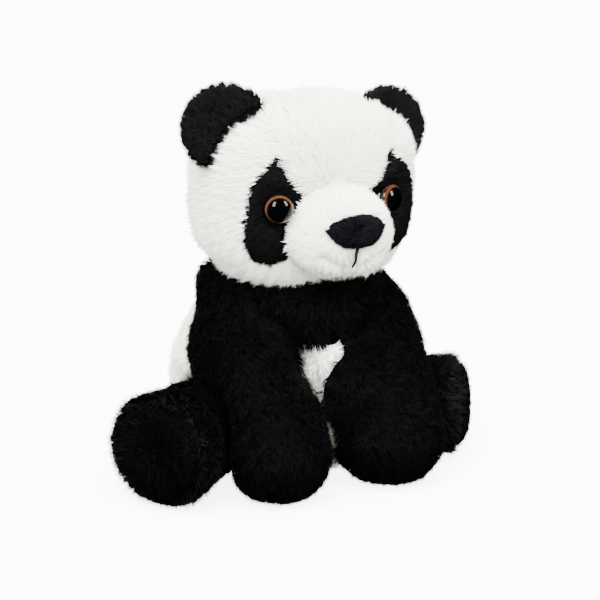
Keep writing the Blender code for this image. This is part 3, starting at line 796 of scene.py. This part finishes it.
# --- shoulders: the black cloth runs unbroken from the chest and back into both arms
ARMS = {word: BODIES["arm_" + word] for _, word in SIDES}
shoulder = {word: np.array(next(j["pos_m"] for j in frame["joints"] if j["name"] == "shoulder_" + word))
            for _, word in SIDES}
fillers = [collar]
plump = []
for side, word in SIDES:
    s = shoulder[word]
    paw_y = boxes(ARMS[word])[0][1] + 0.030
    if side > 0:
        plump.append(((0.0130, s[1] - 0.032, 0.050), (0.0205, 0.019, 0.025)))
        plump.append(((0.027, paw_y, 0.0240), (0.0255, 0.028, 0.0236)))
    else:
        plump.append(((s[0] * 1.21, s[1] - 0.002, 0.056), (0.0140, 0.020, 0.022)))
        plump.append(((s[0] * 1.12, s[1] + 0.002, 0.075), (0.0205, 0.020, 0.022)))
    fillers.append(ellipsoid((s[0] * 0.55, s[1] - 0.012, s[2] + 0.002), (0.016, 0.014, 0.015)))
    fillers.append(ellipsoid((s[0] * 0.62, s[1] + 0.012, s[2] + 0.006), (0.016, 0.014, 0.014)))
    rise = 1.0 if side < 0 else 0.6
    fillers.append(ellipsoid((s[0] * 1.04, s[1] + 0.010, s[2] + 0.018 * rise), (0.0145, 0.018, 0.018)))
    fillers.append(ellipsoid((s[0] * 0.86, s[1] + 0.026, s[2] + 0.024 * rise), (0.016, 0.016, 0.014)))
fillers += [ellipsoid(*shape) for shape in plump]
black_skin = stuffed("black_skin", torso_fill + ARMS["left"] + ARMS["right"], 0.0026, 18, fillers)
bco = verts_of(black_skin.data)
arm_panels = [n for w in ARMS for n in ARMS[w] if "stuffing" not in n]
near_b, _, dist_b = panel_map(bco, TORSO_PANELS + arm_panels)
to_arm = dist_b[:, len(TORSO_PANELS):].min(axis=1)
to_torso = dist_b[:, :len(TORSO_PANELS)].min(axis=1)
fold = np.exp(-((to_arm - to_torso) / 0.007) ** 2) * (bco[:, 2] > yoke_low[2])
relax_where(black_skin.data, 20, np.clip(fold * 1.5, 0, 1))
sunk(black_skin, PILE_ROOM)
settle(black_skin.data, SPREAD_HEIGHT)
black_b = (near_b <= 1) | (near_b >= len(TORSO_PANELS)) | (bco[:, 2] > yoke_high[2] - 0.004)
for centre, radii in plump:
    black_b |= np.linalg.norm((bco - np.array(centre)) / np.array(radii), axis=1) < 1.10
bco = verts_of(black_skin.data)
FOREARM_TOP = 0.062       # below this height an arm's pile may reach past the middle
black_trees = []
whose = np.sign(bco[:, 0]) * (np.abs(bco[:, 0]) > 0.0012)
for (centre, radii), side in zip(plump, (1, 1, -1, -1)):
    inside = np.linalg.norm((bco - np.array(centre)) / np.array(radii), axis=1) < 1.12
    whose[inside & (bco[:, 0] * side > -0.0085)] = side


def make_arm(side, word):
    """One half of the black cloth, from chest and back into one arm, with its pile, fixed in place."""
    half = split_off(black_skin, "arm_skin_" + word, black_b & (whose * side >= 0))
    coat = Coat(half)
    black_trees.append(surface_tree(half))
    a = coat.co
    low, high = boxes(ARMS[word])
    tip = np.array([(low[0] + high[0]) / 2, low[1] + 0.02, low[2] - 0.02])
    way = unit(tip - a) + np.array([0, -0.15, -0.5]) + over_rim(half.data, 0.0035) * 0.9
    under_paw = (coat.no[:, 2] < UNDERSIDE).astype(float)
    hidden = np.clip((a[:, 2] - (yoke_high[2] + 0.006)) / 0.004, 0, 1)
    ones = np.ones(len(a))

    def own_side(p):
        return (p[:, 0] * side > 0) | (p[:, 2] < FOREARM_TOP)

    paint(half, [BLACK_CLOTH], np.zeros(len(a), dtype=int))
    fur = grow("arm_fur_" + word, coat, ARM, ones * (1 - 0.5 * under_paw) * (1 - 0.97 * hidden), way,
               near_floor(a), BLACK_PILE, 71 + side, floor=FLOOR_GAP, keep=own_side)
    for piece in (half, fur):
        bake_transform(piece)
    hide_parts(*ARMS[word], *(["yoke_front", "yoke_back"] if side > 0 else []))


for side, word in SIDES:
    make_arm(side, word)
bpy.data.objects.remove(black_skin, do_unlink=True)

# --- the white coat of the belly, flanks and back, kept clear of the black cloth, with painted shade low on the belly
tc = torso_coat.co
down = np.tile(np.array([0.0, 0.0, -1.0]), (len(tc), 1)) + unit(tc - middle(TORSO_PANELS)) * 0.25
bottom = (torso_coat.no[:, 2] < UNDERSIDE).astype(float)
to_black = np.min([distances(tc, tree) for tree in black_trees], axis=0)
t_share = (1 - 0.4 * bottom) * np.clip(0.3 + to_black / 0.012, 0, 1)
clear = np.clip((to_black - 0.0022) / 0.003, 0, 1)
# Painted shade: low on the belly panel the white pile gives way to the grey copy, which stands in for the shade
# between the arms.
belly_shade = (near_t == TORSO_PANELS.index("belly_panel")) * np.clip((0.078 - tc[:, 2]) / 0.020, 0, 1)
cover = (~black_t).astype(float) * (1 - 0.6 * bottom) * clear
for name, share, tones, seed in (("torso_fur_white", 1 - belly_shade, WHITE_PILE, 61),
                                 ("torso_fur_belly", belly_shade, BELLY_SHADE_PILE, 65)):
    fur = grow(name, torso_coat, TORSO, cover * share, down, t_share, tones, seed, floor=FLOOR_GAP)
    mark(fur, "torso", [])


# --- legs: the right foot is nearer, so its skin is pushed out and widened
FOOT_PUSH = 0.0072
FOOT_WIDEN = 0.09


def make_leg(side, word):
    """One leg with its pile and a fringe along the sole's seam in the lighter ear tone, a painted sheen."""
    nodes = BODIES["leg_" + word]
    skin = stuffed("leg_skin_" + word, nodes, 0.0022, 9)
    hip = np.array(next(j["pos_m"] for j in frame["joints"] if j["name"] == "hip_" + word))
    sole_mid = middle(["sole_" + word])
    lco = verts_of(skin.data)
    _, seam_l, dist_l = panel_map(lco, [n for n in nodes if "stuffing" not in n])
    out = unit((sole_mid - hip)[None])[0]
    sole_seam = np.exp(-((dist_l[:, 2] - dist_l[:, :2].min(axis=1)) / 0.003) ** 2)
    along = (lco - sole_mid) @ out
    ankle = np.exp(-((along + 0.024) / 0.005) ** 2)
    sunk(skin, PILE_ROOM + seam_l * 0.0006 + sole_seam * 0.0016 + ankle * 0.0032)
    if side < 0:
        reach = np.clip(((lco - hip) @ out) / np.linalg.norm(sole_mid - hip), 0, 1)[:, None] ** 1.5
        flat = unit(np.array([[-out[1], out[0], 0.0]]))[0]
        wide = ((lco - sole_mid) @ flat)[:, None] * flat
        push = out * np.array([1, 1, 0]) * FOOT_PUSH
        set_verts(skin.data, verts_of(skin.data) + reach * (push + wide * FOOT_WIDEN))
        sole_mid = sole_mid + out * FOOT_PUSH
    settle(skin.data, SPREAD_HEIGHT)
    relax(skin.data, 2)
    coat = Coat(skin)
    l = coat.co
    on_sole = (coat.no @ out > 0.75).astype(float)
    way = np.tile(out, (len(l), 1)) + np.array([0, 0, -0.35])
    way = np.where(on_sole[:, None] > 0.5, unit(l - sole_mid) + np.array([0, 0, -0.5]), way)
    ones = np.ones(len(l))
    under_leg = (coat.no[:, 2] < UNDERSIDE).astype(float)
    paint(skin, [BLACK_CLOTH], np.zeros(len(l), dtype=int))
    mark(skin, "leg_" + word, nodes)
    shorter = (0.0014 * on_sole + 0.002 * sole_seam) / LEG.length
    fur = grow("leg_fur_" + word, coat, LEG, ones * (1 - 0.5 * under_leg), way, near_floor(l) * (1 - shorter),
               BLACK_PILE, 81 + side, floor=FLOOR_GAP)
    mark(fur, "leg_" + word, [])
    # Painted sheen: the raised fringe on the sole's seam is real, but its lighter ear tone stands in for the light
    # along that ridge.
    rim = np.exp(-((along + 0.0065) / 0.0045) ** 2) * (1 - under_leg)
    fur = grow("leg_rim_" + word, coat, SOLE_RIM, rim, way * 0.3 + coat.no, near_floor(l), EAR_PILE,
               85 + side, floor=FLOOR_GAP)
    mark(fur, "leg_" + word, [])


for side, word in SIDES:
    make_leg(side, word)

# --- tail
tail_nodes = BODIES["tail"]
skin = stuffed("tail_skin", tail_nodes, 0.0012, 12)
sunk(skin, 0.0016)
coat = Coat(skin)
ones = np.ones(len(coat.co))
paint(skin, [WHITE_CLOTH], np.zeros(len(coat.co), dtype=int))
mark(skin, "tail", tail_nodes)
tail_comb = np.tile(np.array([0, 0.5, -1.0]), (len(coat.co), 1))
fur = grow("tail_fur", coat, TAIL, ones, tail_comb, ones, WHITE_PILE, 91, floor=FLOOR_GAP)
mark(fur, "tail", [])


# ------------------------------------------------------------------ eyes

def turned_profile(name, profile, apex, axis, segments=64):
    """A lathe body about the eye's axis. Profile is (radius, height above the apex)."""
    z = Vector(axis)
    x = z.cross(Vector((0, 0, 1))).normalized()
    y = z.cross(x)
    bm = bmesh.new()
    rings = []
    for radius, height in profile:
        spot = Vector(apex) + z * height
        if radius < 1e-7:
            rings.append([bm.verts.new(spot)])
            continue
        ring = []
        for i in range(segments):
            t = 2 * math.pi * i / segments
            ring.append(bm.verts.new(spot + (x * math.cos(t) + y * math.sin(t)) * radius))
        rings.append(ring)
    for a, b in zip(rings, rings[1:]):
        for i in range(segments):
            j = (i + 1) % segments
            if len(a) == 1:
                bm.faces.new((a[0], b[i], b[j]))
            elif len(b) == 1:
                bm.faces.new((a[i], b[0], a[j]))
            else:
                bm.faces.new((a[i], b[i], b[j], a[j]))
    bmesh.ops.recalc_face_normals(bm, faces=bm.faces)
    mesh = bpy.data.meshes.new(name)
    bm.to_mesh(mesh)
    bm.free()
    for p in mesh.polygons:
        p.use_smooth = True
    return add_object(name, mesh)


# The eye's colours by distance from its axis, as a share of its radius: pupil, copper ring, dark edge.
EYE_STOPS = (
    (0.0, (0.0004, 0.0005, 0.0007)),
    (0.80, (0.0006, 0.0005, 0.0005)),
    (0.83, (0.010, 0.004, 0.0015)),
    (0.88, (0.040, 0.0160, 0.0068)),
    (0.96, (0.028, 0.0105, 0.0044)),
    (0.995, (0.003, 0.001, 0.0006)),
)


def eye_material(name, apex, axis, radius):
    """Black pupil and a copper-brown ring painted by distance from the eye's axis."""
    mat, tree, shader = principled(name)
    nodes, links = tree.nodes, tree.links
    coord = nodes.new("ShaderNodeTexCoord")
    shift = nodes.new("ShaderNodeVectorMath")
    shift.operation = 'SUBTRACT'
    shift.inputs[1].default_value = tuple(apex)
    cross = nodes.new("ShaderNodeVectorMath")
    cross.operation = 'CROSS_PRODUCT'
    cross.inputs[1].default_value = tuple(axis)
    size = nodes.new("ShaderNodeVectorMath")
    size.operation = 'LENGTH'
    scale = nodes.new("ShaderNodeMath")
    scale.operation = 'DIVIDE'
    scale.inputs[1].default_value = radius
    wobble = nodes.new("ShaderNodeTexNoise")
    wobble.inputs["Scale"].default_value = 600
    soften = nodes.new("ShaderNodeMath")
    soften.operation = 'MULTIPLY_ADD'
    soften.inputs[1].default_value = 0.05
    ramp = nodes.new("ShaderNodeValToRGB")
    for element, (at, colour) in zip(ramp.color_ramp.elements, (EYE_STOPS[0], EYE_STOPS[-1])):
        element.position = at
        element.color = (*colour, 1)
    for at, colour in EYE_STOPS[1:-1]:
        ramp.color_ramp.elements.new(at).color = (*colour, 1)
    links.new(coord.outputs["Object"], shift.inputs[0])
    links.new(shift.outputs["Vector"], cross.inputs[0])
    links.new(cross.outputs["Vector"], size.inputs[0])
    links.new(size.outputs["Value"], scale.inputs[0])
    links.new(coord.outputs["Object"], wobble.inputs["Vector"])
    links.new(wobble.outputs["Fac"], soften.inputs[0])
    links.new(scale.outputs["Value"], soften.inputs[2])
    links.new(soften.outputs["Value"], ramp.inputs["Fac"])
    links.new(ramp.outputs["Color"], shader.inputs["Base Color"])
    shader.inputs["Roughness"].default_value = 0.5
    shader.inputs["Specular IOR Level"].default_value = 0.0
    shader.inputs["Coat Weight"].default_value = 1.0
    shader.inputs["Coat IOR"].default_value = 1.38
    shader.inputs["Coat Roughness"].default_value = 0.03
    return mat


DOME_HEIGHT = 0.0056
SHANK_RADIUS = 0.0024


def make_eye(word):
    """A glass dome with a rounded rim and a shank, turned about the eye's axis."""
    apex, axis, radius = EYES[word]
    turns = np.linspace(0, math.pi / 2, 15)
    dome = [(radius * math.sin(t), -DOME_HEIGHT * (1 - math.cos(t))) for t in turns]
    rim = [(radius, -0.0062), (radius * 0.93, -0.0068)]
    rim += [(SHANK_RADIUS, -0.0069), (SHANK_RADIUS, -0.017), (0.0, -0.018)]
    eye = turned_profile("eye_glass_" + word, dome + rim, apex, axis)
    eye.data.materials.append(eye_material("eye_" + word, apex, axis, radius))
    mark(eye, "head", ["eye_" + word])


for _, word in SIDES:
    make_eye(word)


def washer_plastic():
    """Milky plastic of the locking washers."""
    mat, tree, shader = principled("washer_plastic")
    grain = tree.nodes.new("ShaderNodeTexNoise")
    grain.inputs["Scale"].default_value = 700
    tint = tree.nodes.new("ShaderNodeValToRGB")
    tint.color_ramp.elements[0].color = (0.78, 0.78, 0.76, 1)
    tint.color_ramp.elements[1].color = (0.86, 0.86, 0.84, 1)
    tree.links.new(grain.outputs["Fac"], tint.inputs["Fac"])
    tree.links.new(tint.outputs["Color"], shader.inputs["Base Color"])
    shader.inputs["Roughness"].default_value = 0.45
    return mat


plastic = washer_plastic()
for _, word in SIDES:
    washer = NODES["eye_washer_" + word]
    washer.data.materials.clear()
    washer.data.materials.append(plastic)

# ------------------------------------------------------------------ mouth thread

thread_mat = cloth_material("mouth_thread", (0.012, 0.011, 0.012), (0.004, 0.004, 0.0045), 1500, 0.8,
                            roughness=0.8, sheen=0.01, specular=0.1)


def thread(name, spots, radius):
    """A round thread through the spots, which thins to half its radius at its end."""
    curve = bpy.data.curves.new(name, 'CURVE')
    curve.dimensions = '3D'
    curve.bevel_depth = radius
    curve.bevel_resolution = 3
    curve.use_fill_caps = True
    line = curve.splines.new('POLY')
    line.points.add(len(spots) - 1)
    for i, (point, spot) in enumerate(zip(line.points, spots)):
        point.co = (*spot, 1.0)
        point.radius = 1.0 - 0.5 * i / (len(spots) - 1)
    obj = add_object(name, curve)
    curve.materials.append(thread_mat)
    return obj


line = [on_muzzle(0.0002 * math.sin(i), z, 0.0017) for i, z in enumerate(drop)]
mouth = thread("mouth_line", line, 0.0010)
mark(mouth, "head", ["mouth_stitch"])

# ------------------------------------------------------------------ care label

def make_label():
    """A thin woven ribbon, sewn in at one end and curling down at the other."""
    low, high = boxes(["care_label"])
    bm = bmesh.new()
    columns, rows = 10, 16
    grid = []
    for i in range(rows + 1):
        t = i / rows
        row = []
        for j in range(columns + 1):
            u = j / columns
            x = low[0] + (high[0] - low[0]) * u
            y = low[1] + (high[1] - low[1]) * t
            curl = 0.0012 * math.sin(t * 2.6) - 0.0035 * t * t
            z = (low[2] + high[2]) / 2 + curl + 0.0003 * math.sin(u * 5)
            row.append(bm.verts.new((x, y, z)))
        grid.append(row)
    for a, b in zip(grid, grid[1:]):
        for j in range(columns):
            bm.faces.new((a[j], a[j + 1], b[j + 1], b[j]))
    mesh = bpy.data.meshes.new("care_ribbon")
    bm.to_mesh(mesh)
    bm.free()
    ribbon = add_object("care_ribbon", mesh)
    solid = ribbon.modifiers.new("thickness", 'SOLIDIFY')
    solid.thickness = 0.0003
    weave = cloth_material("ribbon_weave", (0.86, 0.86, 0.85), (0.74, 0.74, 0.73), 2500, 0.3,
                           roughness=0.6, sheen=0.1)
    ribbon.data.materials.append(weave)
    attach(ribbon, "torso")
    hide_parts("care_label")


make_label()

# ------------------------------------------------------------------ studio

SKY_ABOVE = 3.5
SKY_BELOW = 0.9
FLOOR_GLOW = 6.0         # a lit table top, which keeps the ground as bright as the surround


def stage_plane():
    """The pale floor. It lights nothing and is not mirrored in the eyes."""
    bm = bmesh.new()
    bmesh.ops.create_grid(bm, x_segments=2, y_segments=2, size=6.0)
    mesh = bpy.data.meshes.new("studio_floor")
    bm.to_mesh(mesh)
    bm.free()
    floor = add_object("studio_floor", mesh)
    mat, tree, shader = principled("studio_floor")
    shader.inputs["Base Color"].default_value = (0.93, 0.93, 0.93, 1)
    shader.inputs["Roughness"].default_value = 0.9
    shader.inputs["Emission Color"].default_value = (1, 1, 1, 1)
    shader.inputs["Emission Strength"].default_value = FLOOR_GLOW
    mat.cycles.emission_sampling = 'NONE'
    mesh.materials.append(mat)
    floor.visible_diffuse = False
    floor.visible_glossy = False


def area_light(name, spot, target, size, power):
    """A soft window-like lamp turned towards the target."""
    lamp = bpy.data.lights.new(name, 'AREA')
    lamp.shape = 'RECTANGLE'
    lamp.size = size[0]
    lamp.size_y = size[1]
    lamp.energy = power
    obj = bpy.data.objects.new(name, lamp)
    bpy.context.scene.collection.objects.link(obj)
    obj.location = spot
    obj.rotation_euler = (Vector(target) - Vector(spot)).to_track_quat('-Z', 'Y').to_euler()


def sky():
    """An even white surround above the floor's level and a weaker one below it."""
    world = bpy.data.worlds.new("studio")
    world.use_nodes = True
    nodes, links = world.node_tree.nodes, world.node_tree.links
    coord = nodes.new("ShaderNodeTexCoord")
    split = nodes.new("ShaderNodeSeparateXYZ")
    ramp = nodes.new("ShaderNodeMapRange")
    ramp.inputs["From Min"].default_value = -0.5
    ramp.inputs["From Max"].default_value = 0.12
    ramp.inputs["To Min"].default_value = SKY_BELOW
    ramp.inputs["To Max"].default_value = SKY_ABOVE
    links.new(coord.outputs["Generated"], split.inputs["Vector"])
    links.new(split.outputs["Z"], ramp.inputs["Value"])
    links.new(ramp.outputs["Result"], nodes["Background"].inputs["Strength"])
    nodes["Background"].inputs["Color"].default_value = (1.0, 1.0, 1.0, 1)
    world.cycles_visibility.glossy = False
    bpy.context.scene.world = world


def soft_sun(azimuth, elevation, spread, strength):
    """The key light: a very wide sun from the given direction. Azimuth 0 is the toy's front."""
    lamp = bpy.data.lights.new("soft_sun", 'SUN')
    lamp.angle = math.radians(spread)
    lamp.energy = strength
    obj = bpy.data.objects.new("soft_sun", lamp)
    bpy.context.scene.collection.objects.link(obj)
    a, e = math.radians(azimuth), math.radians(elevation)
    toward = Vector((math.sin(a) * math.cos(e), -math.cos(a) * math.cos(e), math.sin(e)))
    obj.rotation_euler = (-toward).to_track_quat('-Z', 'Y').to_euler()
    obj.visible_glossy = False


stage_plane()
sky()
soft_sun(-30, 52, 50, 15.0)
area_light("window_left", (-1.25, -0.85, 1.05), (0, 0, 0.12), (0.5, 0.9), 30)
area_light("window_right", (0.75, -1.3, 1.05), (0, 0, 0.12), (0.5, 0.9), 30)

VIEW_AZIMUTH = -27.0
VIEW_ELEVATION = 14.0
VIEW_DISTANCE = 1.1
VIEW_AIM = (-0.003, -0.0155, 0.094)
SCALE = 1.92              # image points per millimetre at the aim, in a picture 600 points wide
SENSOR = 36.0


def set_camera():
    """The camera at the chosen angle, framed on the middle of the toy."""
    a, e = math.radians(VIEW_AZIMUTH), math.radians(VIEW_ELEVATION)
    back = Vector((math.sin(a) * math.cos(e), -math.cos(a) * math.cos(e), math.sin(e)))
    aim = Vector(VIEW_AIM)
    camera_data = bpy.data.cameras.new("camera")
    camera_data.sensor_width = SENSOR
    camera_data.lens = SCALE * VIEW_DISTANCE * 1000 / 600 * SENSOR
    camera = bpy.data.objects.new("camera", camera_data)
    bpy.context.scene.collection.objects.link(camera)
    camera.location = aim + back * VIEW_DISTANCE
    camera.rotation_euler = (-back).to_track_quat('-Z', 'Y').to_euler()
    bpy.context.scene.camera = camera


set_camera()

bpy.context.view_layer.update()
